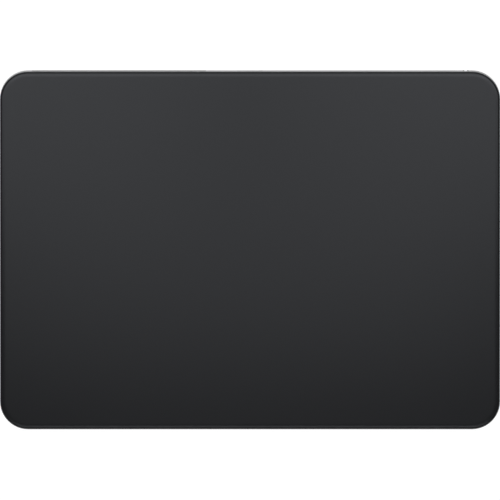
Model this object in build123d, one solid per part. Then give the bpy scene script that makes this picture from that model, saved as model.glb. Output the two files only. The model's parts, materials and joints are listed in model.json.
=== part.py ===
from build123d import *

import math
import os

# A flat wedge trackpad in millimetres. X runs to the right, Y to the rear and Z up, and the origin
# is on the desk below the middle of the part. Everything that follows the glass is placed in the
# deck frame, which lies in the glass face: its third value counts downwards, below the glass.

# Overall form
width = 160.0
depth = 114.9
front_height = 4.9
rear_height = 10.9
corner_radius = 9.0
foot_stand = 0.5
lower_edge_radius = 1.5
overrun = 5.0
corner_share = 0.7

# Enclosure
wall = 2.0
floor_thickness = 0.7
underside_band = 3.0

# Underside
cover_thickness = 0.6
cover_film = 0.1
cover_gap = 0.1
foot_diameter = 9.0
foot_edge_radius = 0.25
foot_gap = 0.1
foot_side_inset = 14.0
foot_end_inset = 13.4

# Touch surface, from the glass down
glass_thickness = 1.0
glass_inset = 0.03
glass_roll_width = 1.1
glass_roll_radius = 6.1
glass_edge_radius = 0.8
glass_film = 0.1
sensor_thickness = 0.6
sensor_gap = 0.5
stiffener_thickness = 0.7
stiffener_gap = 2.0
stiffener_root_gap = 0.6
plate_clearance = 0.15

# How far the touch surface and the power switch move
press_travel = 0.15
haptic_travel = 0.1
switch_travel = 2.6

# Force sensing beams, one at each corner
beam_thickness = 0.4
beam_front_inset = 12.4
beam_rear_inset = 16.0
beam_wall_gap = 1.5
beam_root_length = 7.0
beam_root_width = 11.0
beam_root_radius = 0.6
beam_neck_length = 11.5
beam_neck_width = 4.5
beam_tip_diameter = 8.0
beam_nut_diameter = 3.2
beam_nut_height = 0.6
beam_screw_pitch = 6.0
beam_screw_grip = 0.45
pad_diameter = 6.0
pad_thickness = 0.35
gauge_length = 4.0
gauge_width = 3.0
gauge_thickness = 0.1

# Screws, all of one small thread
thread_diameter = 1.6
thread_clearance = 0.05
screw_hole_gap = 0.1
screw_head_diameter = 2.8
screw_head_height = 0.5
screw_head_gap = 0.2
screw_drive_width = 1.3
screw_drive_depth = 0.25
boss_diameter = 4.0

# Haptic magnet, set parallel to the glass as far forward as the wedge leaves room for it
haptic_gap = 0.4
haptic_floor_gap = 0.12
haptic_bracket_length = 84.0
haptic_bracket_width = 16.0
haptic_bracket_thickness = 0.4
haptic_ear_length = 11.0
haptic_screw_edge = 3.5
haptic_screw_bite = 0.6
core_count = 3
core_gap = 4.0
core_width = 12.0
core_base = 0.4
core_height = 1.3
core_pole_width = 4.0
core_side_pole = 2.5
coil_gap = 0.3
coil_width = 2.4
coil_height = 0.7
attraction_thickness = 0.4
attraction_radius = 0.4
attraction_lap = 2.0

# Battery, in the bay between the magnet and the logic board
battery_width = 92.0
battery_height = 3.2
battery_edge_radius = 1.2
battery_seal_length = 3.4
battery_seal_thickness = 0.4
battery_film = 0.2
battery_strip_width = 14.0
battery_board_length = 44.0
battery_board_width = 2.8
battery_board_thickness = 0.8
battery_haptic_gap = 5.0

# Logic board, along the rear wall
rear_line_drop = 5.3
board_depth = 10.65
board_thickness = 0.8
board_wall_gap = 1.1
board_switch_gap = 9.7
board_battery_gap = 1.6
board_corner = 1.0
board_screw_share = 0.5
shield_edge_gap = 0.6
shield_length = 14.0
shield_width = 6.4
shield_height = 1.5
shield_sheet = 0.2
shield_corner = 0.8
connector_height = 1.0
connector_depth = 2.4
connector_gap = 0.4
front_connector_offset = 12.5
chip_height = 0.9
chip_gap = 0.6
large_chip = 4.6
small_chip = 2.6
resistor_length = 1.0
resistor_width = 0.5
resistor_height = 0.45
resistor_pitch = 1.6
resistor_count = 6
resistor_row_inset = 6.0

# Flat cables
ribbon_thickness = 0.15
ribbon_bend = 3.0
ribbon_gap = 1.0
haptic_ribbon_width = 3.0
haptic_ribbon_margin = 0.2
force_ribbon_width = 2.5
battery_ribbon_width = 8.0
switch_ribbon_width = 2.0
switch_ribbon_bond = 3.0
touch_ribbon_width = 8.0
touch_ribbon_bond = 3.0
touch_ribbon_loop = 2.6
touch_ribbon_end_gap = 0.05

# Socket in the rear face
port_width = 8.34
port_height = 2.56
port_shell_wall = 0.15
port_shell_gap = 0.05
port_depth = 7.0
tongue_width = 6.6
tongue_thickness = 0.7
tongue_length = 4.6
tongue_setback = 1.3
contact_count = 12
contact_pitch = 0.5
contact_width = 0.28
contact_length = 3.4
contact_thickness = 0.05
strap_thickness = 0.3
strap_width = 3.0
strap_side_gap = 0.15
strap_foot = 5.2
strap_inner_gap = 2.3
gasket_width = 0.8
gasket_wall_gap = 0.2
gasket_board_gap = 0.15

# Antenna window in the rear face
window_outer_inset = 10.2
window_inner_offset = 14.1
window_height = 5.7
window_radius = 1.2
window_flange = 0.5
window_flange_lip = 0.5
antenna_thickness = 0.15
antenna_margin = 3.0
antenna_height = 3.6
coax_diameter = 0.8
coax_bend = 1.6
coax_rise = 1.0

# Power switch in the rear face
slot_outer_inset = 9.9
slot_width = 5.0
slot_height = 1.8
slot_radius = 0.5
slot_floor_depth = 0.8
knob_width = 1.9
knob_gap = 0.2
knob_proud = 0.3
knob_ridge_width = 0.8
knob_step = 0.15
knob_edge_radius = 0.1
marker_thickness = 0.1
stem_width = 1.2
stem_height = 0.5
stem_gap = 0.1
switch_wall_gap = 0.1
switch_nose_gap = 0.05
switch_body_length = 9.4
switch_body_height = 3.6
switch_body_depth = 2.8
switch_face = 0.6
switch_shell = 0.6
slider_length = 3.0
slider_gap = 0.15
slider_socket_depth = 0.6
switch_board_thickness = 0.6
switch_ear_length = 3.2
switch_ear_thickness = 0.8

# Touch chips under the sensor board
touch_chip_size = 7.0
touch_chip_height = 0.9
touch_chip_pitch = 11.0
touch_chip_count = 2
touch_window_gap = 1.2
touch_window_side_inset = 21.0
touch_window_rear_inset = 48.0


# Heights and frames that follow from the sizes above
underside = foot_stand
cover_top = underside + cover_thickness
floor_bottom = cover_top + cover_film
floor_top = floor_bottom + floor_thickness
rise = rear_height - front_height
rear_lean = (rear_height - underside - lower_edge_radius) * rise / depth
deck_plan_depth = depth - rear_lean
slope = math.atan2(rise, deck_plan_depth)
deck_length = deck_plan_depth / math.cos(slope)
deck_middle_y = -rear_lean / 2
deck_middle_z = (front_height + rear_height) / 2
deck = Plane(
    origin=(0, deck_middle_y, deck_middle_z),
    x_dir=(1, 0, 0),
    z_dir=(0, -math.sin(slope), math.cos(slope)),
).location
rear_face = Plane(
    origin=(0, -depth / 2 + deck_plan_depth, rear_height),
    x_dir=(1, 0, 0),
    z_dir=(0, math.cos(slope), math.sin(slope)),
).location
film_level = glass_thickness
sensor_level = film_level + glass_film
stiffener_level = sensor_level + sensor_thickness
stack_level = stiffener_level + stiffener_thickness
beam_level = stack_level + pad_thickness
pedestal_level = beam_level + beam_thickness
screw_seat_level = pedestal_level + beam_screw_grip
ledge_level = glass_thickness + press_travel + plate_clearance
core_level = stack_level + attraction_thickness + haptic_gap
bracket_level = core_level + core_height
haptic_boss_level = bracket_level + haptic_bracket_thickness
rear_line_z = rear_height - rear_line_drop * math.cos(slope)


def rear_wall_y(height):
    """Where the outer rear face stands at a height above the desk."""
    return -depth / 2 + deck_plan_depth + (rear_height - height) * math.tan(slope)


def deck_z(y, level):
    """The height above the desk of a level below the glass, at a place along Y."""
    return deck_middle_z + (y - deck_middle_y) * math.tan(slope) - level / math.cos(slope)


def deck_y(along, level):
    """The place along Y of a point of the deck frame."""
    return deck_middle_y + along * math.cos(slope) + level * math.sin(slope)


def on_deck(x, along, level):
    """A place in the deck frame, a given depth below the glass."""
    return deck * Pos(x, along, -level)


def deck_plate(size_x, size_y, radius, level, thickness):
    """A rounded plate parallel to the glass, with its top at a level below the glass."""
    return on_deck(0, 0, level + thickness) * extrude(RectangleRounded(size_x, size_y, radius), thickness)


def inset_plate(inset, level, thickness):
    """A plate parallel to the glass that keeps the outline of the enclosure, a given inset inside it."""
    radius = corner_radius - inset
    return deck_plate(width - 2 * inset, deck_length - 2 * inset, radius, level, thickness)


def span(middle, size):
    """The low and the high end of a size about its middle."""
    return middle - size / 2, middle + size / 2


def block(x_low, x_high, y_low, y_high, z_low, z_high):
    """A level block between two opposite corners."""
    middle = Pos((x_low + x_high) / 2, (y_low + y_high) / 2, (z_low + z_high) / 2)
    return middle * Box(x_high - x_low, y_high - y_low, z_high - z_low)


def deck_block(x_low, x_high, along_low, along_high, level, thickness):
    """A block parallel to the glass, with its top at a level below the glass."""
    middle = on_deck((x_low + x_high) / 2, (along_low + along_high) / 2, level + thickness / 2)
    return middle * Box(x_high - x_low, along_high - along_low, thickness)


def above(height):
    """All the space of the part from a height upwards."""
    return block(-width, width, -depth, depth, height, height + 2 * rear_height)


def post(diameter, length):
    """A round post that rises from its place."""
    return Cylinder(diameter / 2, length, align=(Align.CENTER, Align.CENTER, Align.MIN))


def strip_side(points, thickness):
    """The side outline of a flat strip whose middle line runs through some points."""
    left, right = [], []
    last = len(points) - 1
    for i, (a, b) in enumerate(points):
        before = points[max(i - 1, 0)]
        after = points[min(i + 1, last)]
        turn_in = math.atan2(b - before[1], a - before[0]) if i > 0 else None
        turn_out = math.atan2(after[1] - b, after[0] - a) if i < last else None
        start = turn_out if turn_in is None else turn_in
        end = turn_in if turn_out is None else turn_out
        half_turn = math.remainder(end - start, 2 * math.pi) / 2
        heading = start + half_turn
        reach = thickness / 2 / math.cos(half_turn)
        left.append((a - reach * math.sin(heading), b + reach * math.cos(heading)))
        right.append((a + reach * math.sin(heading), b - reach * math.cos(heading)))
    return left + right[::-1]


def ribbon_along_y(points, x, ribbon_width):
    """A flat cable through points of Y and Z, a given width across X."""
    side = make_face(Polyline(*strip_side(points, ribbon_thickness), close=True))
    sheet = extrude(side, ribbon_width / 2, both=True)
    return Pos(x, 0, 0) * Rot(Z=90) * Rot(X=90) * sheet


def ribbon_along_x(points, y, ribbon_width):
    """A flat cable through points of X and Z, a given width across Y."""
    side = make_face(Polyline(*strip_side(points, ribbon_thickness), close=True))
    sheet = extrude(side, ribbon_width / 2, both=True)
    return Pos(0, y, 0) * Rot(X=90) * sheet


def screw(shank_length):
    """A pan head screw with a six sided drive, its head standing on its place and its shank below."""
    head = post(screw_head_diameter, screw_head_height)
    drive = RegularPolygon(screw_drive_width / 2, 6)
    recess = Pos(0, 0, screw_head_height - screw_drive_depth) * extrude(drive, screw_drive_depth)
    shank = Pos(0, 0, -shank_length) * post(thread_diameter, shank_length)
    return head - recess + shank


def group(pieces):
    """Separate solids that share one node."""
    return Compound(children=[Solid(piece.solid().wrapped) for piece in pieces])


# Enclosure

side_signs = (-1, 1)
beam_corners = {
    "front_left": (-1, -deck_length / 2 + beam_front_inset),
    "front_right": (1, -deck_length / 2 + beam_front_inset),
    "rear_left": (-1, deck_length / 2 - beam_rear_inset),
    "rear_right": (1, deck_length / 2 - beam_rear_inset),
}
beam_root_outer = width / 2 - wall - beam_wall_gap
beam_root_inner = beam_root_outer - beam_root_length
beam_tip_x = beam_root_inner - beam_neck_length - beam_tip_diameter / 2
beam_screw_x = beam_root_outer - beam_root_length / 2
counterbore_diameter = screw_head_diameter + 2 * screw_head_gap
screw_hole_diameter = thread_diameter + 2 * screw_hole_gap
thread_hole_diameter = thread_diameter + 2 * thread_clearance

haptic_front_height = floor_top + haptic_floor_gap + haptic_boss_level * math.cos(slope)
haptic_front = (haptic_front_height - deck_middle_z) / math.sin(slope)
haptic_along = haptic_front + haptic_bracket_width / 2
haptic_rear = haptic_front + haptic_bracket_width
haptic_screw_x = haptic_bracket_length / 2 - haptic_screw_edge
haptic_screw_pitch = haptic_bracket_width - 2 * haptic_screw_edge
core_span = haptic_bracket_length - 2 * haptic_ear_length
core_pitch = (core_span + core_gap) / core_count
core_length = core_pitch - core_gap
core_pole_length = core_length - 2 * (core_side_pole + coil_width + 2 * coil_gap)

port_outer_width = port_width + 2 * port_shell_wall
port_outer_height = port_height + 2 * port_shell_wall
port_mouth = rear_wall_y(rear_line_z)
port_inner_end = port_mouth - port_depth
port_base_length = port_depth - tongue_setback - tongue_length

slot_middle = width / 2 - slot_outer_inset - slot_width / 2
knob_middle = width / 2 - slot_outer_inset - knob_gap - knob_width / 2
switch_inner_wall = rear_wall_y(rear_line_z + switch_body_height / 2) - wall
switch_span = span(slot_middle, switch_body_length)
switch_front_face = switch_inner_wall - switch_wall_gap
switch_back_face = switch_front_face - switch_body_depth
switch_bottom = rear_line_z - switch_body_height / 2
switch_ear_end = switch_span[0] - switch_ear_length
switch_ear_x = (switch_span[0] + switch_ear_end) / 2
switch_ear_y = (switch_front_face + switch_back_face) / 2
switch_ear_z = switch_bottom + switch_ear_thickness
switch_top = switch_bottom + switch_body_height

board_top = rear_line_z - port_outer_height / 2
board_bottom = board_top - board_thickness
board_rear = rear_wall_y(floor_top) - wall - board_wall_gap
board_front = board_rear - board_depth
board_half = switch_ear_end - board_switch_gap
strap_reach = port_outer_width / 2 + strap_side_gap + strap_foot
strap_screw_x = strap_reach - boss_diameter / 2
strap_y = port_inner_end + strap_inner_gap
board_screw_y = board_front + boss_diameter / 2
board_screw_x = board_half * board_screw_share
board_screw_places = [(sign * board_screw_x, board_screw_y) for sign in side_signs]
strap_screw_places = [(sign * strap_screw_x, strap_y) for sign in side_signs]

battery_front = deck_y(haptic_rear, haptic_boss_level) + battery_haptic_gap
battery_rear = board_front - board_battery_gap
battery_body_rear = battery_rear - battery_seal_length
battery_bottom = floor_top + battery_film
battery_top = battery_bottom + battery_height
seal_top = battery_bottom + battery_seal_thickness


def outer_shell():
    """The whole outside of the wedge below the glass, filled, with its lower edge rounded."""
    body = inset_plate(0, ledge_level, rear_height + overrun) & above(underside)
    limit = underside + floor_thickness
    lower_edges = body.edges().filter_by(lambda edge: max(v.Z for v in edge.vertices()) < limit)
    return fillet(lower_edges, lower_edge_radius)


def cavity():
    """The space inside the walls, from the floor to past the glass."""
    return inset_plate(wall, -overrun, rear_height + 2 * overrun) & above(floor_top)


def underside_outline(inset):
    """The rounded outline of the underside, a given inset inside it, at the height of the desk."""
    front = -depth / 2 + (front_height - underside) * math.tan(slope)
    rear = rear_wall_y(underside)
    size_y = rear - front - 2 * inset
    return Pos(0, (front + rear) / 2, 0) * RectangleRounded(width - 2 * inset, size_y, corner_radius - inset)


def standoff(x, y, top):
    """A threaded post of the enclosure that rises from its floor."""
    solid = Pos(x, y, floor_bottom) * post(boss_diameter, top - floor_bottom)
    hole = Pos(x, y, floor_top) * post(thread_hole_diameter, rear_height)
    return solid, hole


def beam_pedestal(sign, along):
    """The corner block that a beam is screwed to, and the holes through it."""
    outer = width / 2 - wall / 2
    low, high = sorted((sign * beam_root_inner, sign * outer))
    solid = deck_block(low, high, *span(along, beam_root_width), pedestal_level, rear_height)
    holes = []
    for x, screw_along in beam_screw_spots(sign, along):
        place = on_deck(x, screw_along, screw_seat_level + rear_height)
        holes.append(place * post(counterbore_diameter, rear_height))
        holes.append(place * post(screw_hole_diameter, 2 * rear_height))
    return solid & above(floor_bottom), holes


def beam_screw_spots(sign, along):
    """Where the two screws of a beam stand, in the deck frame."""
    return [(sign * beam_screw_x, place) for place in span(along, beam_screw_pitch)]


def haptic_boss(x, along):
    """A low post that carries a corner of the haptic bracket, and its thread."""
    base = on_deck(x, along, haptic_boss_level + rear_height)
    solid = base * post(boss_diameter, rear_height) & above(floor_bottom)
    hole_length = haptic_screw_bite + thread_clearance
    hole = on_deck(x, along, haptic_boss_level + hole_length) * post(thread_hole_diameter, hole_length)
    return solid, hole


def haptic_screw_spots():
    """Where the four haptic screws stand, in the deck frame."""
    rows = span(haptic_along, haptic_screw_pitch)
    return [(sign * haptic_screw_x, along) for sign in side_signs for along in rows]


def enclosure():
    """The machined tray: floor, walls, posts and the openings of the rear face."""
    body = outer_shell() - cavity()
    solids, holes = [], []
    for sign, along in beam_corners.values():
        solid, cuts = beam_pedestal(sign, along)
        solids.append(solid)
        holes += cuts
    for x, along in haptic_screw_spots():
        solid, hole = haptic_boss(x, along)
        solids.append(solid)
        holes.append(hole)
    for x, y in board_screw_places + strap_screw_places:
        solid, hole = standoff(x, y, board_bottom)
        solids.append(solid)
        holes.append(hole)
    solid, hole = standoff(switch_ear_x, switch_ear_y, switch_bottom)
    solids.append(solid)
    holes.append(hole)
    shelf_rear = switch_inner_wall + wall / 2
    solids.append(block(*switch_span, switch_back_face, shelf_rear, floor_bottom, switch_bottom))
    for solid in solids:
        body += solid
    for hole in holes:
        body -= hole
    recess = extrude(underside_outline(underside_band), floor_bottom)
    body -= recess
    body -= port_opening(port_shell_gap)
    body -= rear_face * Pos(*window_place(), -wall - overrun) * extrude(window_outline(0), wall + 2 * overrun)
    body -= slot_opening(0)
    return body


def port_opening(gap):
    """The level hole through the rear wall that the socket stands in."""
    outline = SlotOverall(port_outer_width + 2 * gap, port_outer_height + 2 * gap)
    hole = extrude(outline, wall + 2 * overrun)
    return Pos(0, port_mouth + overrun, rear_line_z) * Rot(X=90) * hole


def slot_outline(gap):
    """The outline of the switch slot, made smaller all round by a gap."""
    return RectangleRounded(slot_width - 2 * gap, slot_height - 2 * gap, slot_radius - gap)


def slot_opening(gap):
    """The level slot through the rear wall that the power switch shows in."""
    hole = extrude(slot_outline(gap), wall + 2 * overrun)
    return Pos(slot_middle, switch_inner_wall + wall + overrun, rear_line_z) * Rot(X=90) * hole


# Underside

def foot_places():
    """The four feet by name, with their places on the underside."""
    x = width / 2 - foot_side_inset
    y = depth / 2 - foot_end_inset
    return {
        "foot_front_left": (-x, -y),
        "foot_front_right": (x, -y),
        "foot_rear_left": (-x, y),
        "foot_rear_right": (x, y),
    }


def underside_sheet(bottom, thickness):
    """A sheet that fills the recess of the underside, with a hole for each foot."""
    sheet = Pos(0, 0, bottom) * extrude(underside_outline(underside_band + cover_gap), thickness)
    for x, y in foot_places().values():
        sheet -= Pos(x, y, bottom) * post(foot_diameter + 2 * foot_gap, thickness)
    return sheet


def foot(x, y):
    """A soft foot that stands on the desk and is bonded to the floor of the enclosure."""
    disc = Pos(x, y, 0) * post(foot_diameter, floor_bottom)
    edge = disc.edges().filter_by(GeomType.CIRCLE).sort_by(Axis.Z)[0]
    return fillet(edge, foot_edge_radius)


# Force sensing

def beam(sign, along):
    """A flat spring beam: a root with two pressed nuts, a narrow neck and a round tip."""
    centre = (beam_root_inner + beam_root_outer) / 2
    root = on_deck(sign * centre, along, pedestal_level) * extrude(
        RectangleRounded(beam_root_length, beam_root_width, beam_root_radius), beam_thickness
    )
    low, high = sorted((sign * beam_tip_x, sign * (beam_root_inner + beam_root_radius)))
    neck = deck_block(low, high, *span(along, beam_neck_width), beam_level, beam_thickness)
    tip = on_deck(sign * beam_tip_x, along, pedestal_level) * post(beam_tip_diameter, beam_thickness)
    body = root + neck + tip
    for spot in beam_screw_spots(sign, along):
        place = on_deck(*spot, pedestal_level)
        body += place * post(beam_nut_diameter, beam_thickness + beam_nut_height)
        body -= place * post(thread_hole_diameter, beam_thickness + beam_nut_height)
    return body


def isolator_pad(sign, along):
    """A gel pad that the touch surface rests on, on the tip of a beam."""
    return on_deck(sign * beam_tip_x, along, beam_level) * post(pad_diameter, pad_thickness)


def strain_gauge(sign, along):
    """A gauge bonded under the neck of a beam."""
    middle = beam_root_inner - beam_neck_length / 2
    place = span(sign * middle, gauge_length)
    return deck_block(*place, *span(along, gauge_width), pedestal_level, gauge_thickness)


def beam_screws():
    """The screws that hold the beams, put in from below through the floor."""
    shank = beam_screw_grip + beam_thickness + beam_nut_height
    pieces = []
    for corner in beam_corners.values():
        for spot in beam_screw_spots(*corner):
            pieces.append(on_deck(*spot, screw_seat_level) * Rot(X=180) * screw(shank))
    return pieces


# Touch surface

def glass_edge_profile():
    """What the rolled edge leaves out of a square edge, as a face of outward and downward places."""
    turn = math.asin(glass_roll_width / glass_roll_radius)
    roll_drop = glass_roll_radius * (1 - math.cos(turn))
    nose_width = glass_edge_radius * (1 - math.sin(turn))
    low = roll_drop + glass_edge_radius * math.cos(turn)
    start = -nose_width - glass_roll_width

    def on_roll(angle):
        return start + glass_roll_radius * math.sin(angle), glass_roll_radius * (1 - math.cos(angle))

    def on_nose(angle):
        return glass_edge_radius * (math.sin(angle) - 1), low - glass_edge_radius * math.cos(angle)

    roll = ThreePointArc(on_roll(0), on_roll(turn / 2), on_roll(turn))
    nose = ThreePointArc(on_nose(turn), on_nose((turn + math.pi / 2) / 2), on_nose(math.pi / 2))
    rest = Polyline((0, low), (overrun, low), (overrun, -overrun), (start, -overrun), (start, 0))
    return make_face(roll + nose + rest)


def cover_glass():
    """The glass that covers the whole top, with its upper edge rolled off softly all round."""
    size_x, size_y = width - 2 * glass_inset, deck_length - 2 * glass_inset
    outline = RectangleRounded(size_x, size_y, corner_radius - glass_inset).face().outer_wire()
    along = outline % 0
    outward = along.cross(Vector(0, 0, 1))
    cutter = sweep(Plane(origin=outline @ 0, x_dir=outward, z_dir=along) * glass_edge_profile(), path=outline)
    return inset_plate(glass_inset, 0, glass_thickness) - on_deck(0, 0, 0) * cutter


def touch_window():
    """The opening of the stiffener around the touch chips, as low and high X and place along."""
    high_x = width / 2 - touch_window_side_inset
    high_y = deck_length / 2 - touch_window_rear_inset
    size_x = touch_chip_size + 2 * touch_window_gap
    size_y = touch_chip_size + (touch_chip_count - 1) * touch_chip_pitch + 2 * touch_window_gap
    return high_x - size_x, high_x, high_y - size_y, high_y


def flex_window():
    """The opening of the stiffener that the touch flex comes through."""
    reach = touch_ribbon_width / 2 + touch_window_gap
    front = touch_loop_y - touch_ribbon_bond - touch_window_gap
    return touch_flex_x - reach, touch_flex_x + reach, front, deck_length / 2 - wall


def stiffener_plate():
    """The stiff plate, cut away over the roots of the beams and around chips and flex."""
    inset = wall + stiffener_gap
    plate = inset_plate(inset, stiffener_level, stiffener_thickness)
    root_edge = beam_root_inner - stiffener_root_gap
    windows = [touch_window(), flex_window()]
    for sign, along in beam_corners.values():
        low, high = sorted((sign * root_edge, sign * width))
        inner = along - math.copysign(beam_root_width / 2 + touch_window_gap, along)
        first, last = sorted((inner, math.copysign(deck_length, along)))
        windows.append((low, high, first, last))
    for window in windows:
        plate -= deck_block(*window, stiffener_level - overrun, stiffener_thickness + 2 * overrun)
    return plate


def attraction_plate():
    """The steel plate that the magnet pulls, bonded under the stiffener."""
    outline = RectangleRounded(core_span + 2 * attraction_lap, core_width, attraction_radius)
    place = on_deck(0, haptic_along, stack_level + attraction_thickness)
    return place * extrude(outline, attraction_thickness)


def touch_chips():
    """The touch controller chips and their small parts, under the sensor board."""
    low_x, high_x, low_y, high_y = touch_window()
    x = (low_x + high_x) / 2
    pieces = []
    for i in range(touch_chip_count):
        along = low_y + touch_window_gap + touch_chip_size / 2 + i * touch_chip_pitch
        spans = *span(x, touch_chip_size), *span(along, touch_chip_size)
        pieces.append(deck_block(*spans, stiffener_level, touch_chip_height))
    count = math.floor(touch_chip_size / resistor_pitch)
    between = low_y + touch_window_gap + touch_chip_size + (touch_chip_pitch - touch_chip_size) / 2
    for i in range(count):
        part_x = x + (i - (count - 1) / 2) * resistor_pitch
        spans = *span(part_x, resistor_width), *span(between, resistor_length)
        pieces.append(deck_block(*spans, stiffener_level, resistor_height))
    return pieces


# Haptic magnet

def haptic_bracket():
    """The flat steel bracket under the magnet."""
    outline = RectangleRounded(haptic_bracket_length, haptic_bracket_width, haptic_screw_edge)
    plate = on_deck(0, haptic_along, haptic_boss_level) * extrude(outline, haptic_bracket_thickness)
    for x, along in haptic_screw_spots():
        plate -= on_deck(x, along, haptic_boss_level) * post(screw_hole_diameter, haptic_bracket_thickness)
    return plate


def core_spots():
    """The middles of the cores, along X."""
    return [(i - (core_count - 1) / 2) * core_pitch for i in range(core_count)]


def haptic_core(x):
    """An iron core: a base with a middle pole and two side poles."""
    across = span(haptic_along, core_width)
    pole = *span(x, core_pole_length), *span(haptic_along, core_pole_width)
    body = deck_block(*span(x, core_length), *across, bracket_level - core_base, core_base)
    body += deck_block(*pole, core_level, core_height)
    for sign in side_signs:
        middle = x + sign * (core_length - core_side_pole) / 2
        body += deck_block(*span(middle, core_side_pole), *across, core_level, core_height)
    return body


def haptic_coil(x):
    """A flat winding around the middle pole of a core."""
    inner_x = core_pole_length + 2 * coil_gap
    inner_y = core_pole_width + 2 * coil_gap
    ring = RectangleRounded(inner_x + 2 * coil_width, inner_y + 2 * coil_width, coil_width)
    ring -= RectangleRounded(inner_x, inner_y, coil_gap)
    return on_deck(x, haptic_along, bracket_level - core_base) * extrude(ring, coil_height)


def haptic_screws():
    """The four screws of the haptic bracket."""
    shank = haptic_bracket_thickness + haptic_screw_bite
    return [on_deck(x, along, bracket_level) * screw(shank) for x, along in haptic_screw_spots()]


# Battery

def battery_cell():
    """The pouch cell with soft edges and its flat seal at the rear."""
    pouch = block(*span(0, battery_width), battery_front, battery_body_rear, battery_bottom, battery_top)
    pouch = fillet(pouch.edges(), battery_edge_radius)
    seal_front = battery_body_rear - battery_edge_radius
    seal_width = battery_width - 2 * battery_edge_radius
    return pouch + block(*span(0, seal_width), seal_front, battery_rear, battery_bottom, seal_top)


def battery_strips():
    """The adhesive strips between cell and floor."""
    x = battery_width / 2 - battery_edge_radius - battery_strip_width / 2
    low, high = battery_front + battery_edge_radius, battery_body_rear - battery_edge_radius
    places = [span(sign * x, battery_strip_width) for sign in side_signs]
    return [block(*place, low, high, floor_top, battery_bottom) for place in places]


def battery_board():
    """The protection board on the seal of the cell."""
    front = battery_rear - battery_board_width
    top = seal_top + battery_board_thickness
    body = block(*span(0, battery_board_length), front, battery_rear, seal_top, top)
    middle = battery_rear - battery_board_width / 2
    for x in span(0, battery_board_length - 2 * small_chip):
        body += block(*span(x, small_chip), *span(middle, small_chip / 2), top, top + resistor_height)
    return body


# Logic board

connector_level = board_top + connector_height / 2
board_edge_connector_x = board_half - connector_gap - connector_depth / 2
front_connector_y = board_front + connector_gap + connector_depth / 2
force_connector_y = front_connector_y + connector_depth / 2 + connector_gap + force_ribbon_width / 2
switch_board_front = switch_back_face - switch_board_thickness
switch_connector_y = switch_board_front - switch_ribbon_width / 2
half_board_room = board_edge_connector_x - connector_depth / 2 - strap_reach
half_board_gap = (half_board_room - shield_length - touch_ribbon_width) / 3
power_shield_x = strap_reach + half_board_gap + shield_length / 2
wireless_shield_x = -power_shield_x
shield_y = board_rear - shield_edge_gap - shield_width / 2
touch_flex_x = power_shield_x + shield_length / 2 + half_board_gap + touch_ribbon_width / 2
touch_loop_y = board_rear - touch_ribbon_loop


def logic_board():
    """The long board behind the battery, with its screw holes."""
    plan = RectangleRounded(2 * board_half, board_rear - board_front, board_corner)
    board = Pos(0, (board_front + board_rear) / 2, board_bottom) * extrude(plan, board_thickness)
    for x, y in board_screw_places + strap_screw_places:
        board -= Pos(x, y, board_bottom) * post(screw_hole_diameter, board_thickness)
    return board


def board_screws():
    """The two screws at the front edge of the logic board."""
    shank = board_top - floor_top
    return [Pos(x, y, board_top) * screw(shank) for x, y in board_screw_places]


def shield_can(x):
    """A folded metal can, open below, that stands on the board."""
    outer = RectangleRounded(shield_length, shield_width, shield_corner)
    inner_sizes = shield_length - 2 * shield_sheet, shield_width - 2 * shield_sheet
    inner = RectangleRounded(*inner_sizes, shield_corner - shield_sheet)
    can = extrude(outer, shield_height) - extrude(inner, shield_height - shield_sheet)
    return Pos(x, shield_y, board_top) * can


def board_piece(x, y, size_x, size_y, height):
    """A block that stands on the logic board."""
    return block(*span(x, size_x), *span(y, size_y), board_top, board_top + height)


def board_chips():
    """The chips and small parts that stand free on the logic board."""
    pieces = []
    for x in (wireless_shield_x, power_shield_x):
        for side in side_signs:
            middle = x + side * shield_length / 4
            pieces.append(board_piece(middle, shield_y, large_chip, large_chip, chip_height))
    row_y = board_front + small_chip / 2 + chip_gap
    for side in side_signs:
        pieces.append(board_piece(side * small_chip, row_y, small_chip, small_chip, chip_height))
    for i in range(resistor_count):
        x = resistor_row_inset - board_half + i * resistor_pitch
        pieces.append(board_piece(x, row_y, resistor_width, resistor_length, resistor_height))
    return pieces


def connector(x, y, size_x, size_y):
    """A low cable connector on the logic board, with its latch bar on top."""
    latch = board_piece(x, y, size_x, size_y / 2, connector_height + ribbon_thickness)
    return board_piece(x, y, size_x, size_y, connector_height) + latch


def board_connectors():
    """All the cable connectors of the logic board."""
    edge = board_edge_connector_x
    return [
        connector(-front_connector_offset, front_connector_y, battery_ribbon_width, connector_depth),
        connector(front_connector_offset, front_connector_y, haptic_ribbon_width, connector_depth),
        connector(touch_flex_x, front_connector_y, touch_ribbon_width, connector_depth),
        connector(-edge, force_connector_y, connector_depth, force_ribbon_width),
        connector(edge, force_connector_y, connector_depth, force_ribbon_width),
        connector(edge, switch_connector_y, connector_depth, switch_ribbon_width),
    ]


# Socket

def port_shell():
    """The drawn metal shell of the socket, open at the rear face."""
    outer = SlotOverall(port_outer_width, port_outer_height)
    inner = SlotOverall(port_width, port_height)
    shell = extrude(outer, port_depth) - extrude(inner, port_depth)
    return Pos(0, port_mouth, rear_line_z) * Rot(X=90) * shell


def port_tongue():
    """The insulator: a base that fills the inner end of the shell, and the tongue in its middle."""
    base = extrude(SlotOverall(port_width, port_height), port_base_length)
    tongue = extrude(Rectangle(tongue_width, tongue_thickness), port_base_length + tongue_length)
    return Pos(0, port_inner_end, rear_line_z) * Rot(X=-90) * (base + tongue)


def port_contacts():
    """The contact strips on both faces of the tongue."""
    start = port_inner_end + port_base_length
    pieces = []
    for z in span(rear_line_z, tongue_thickness + contact_thickness):
        for i in range(contact_count):
            x = (i - (contact_count - 1) / 2) * contact_pitch
            spans = *span(x, contact_width), start, start + contact_length, *span(z, contact_thickness)
            pieces.append(block(*spans))
    return pieces


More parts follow.
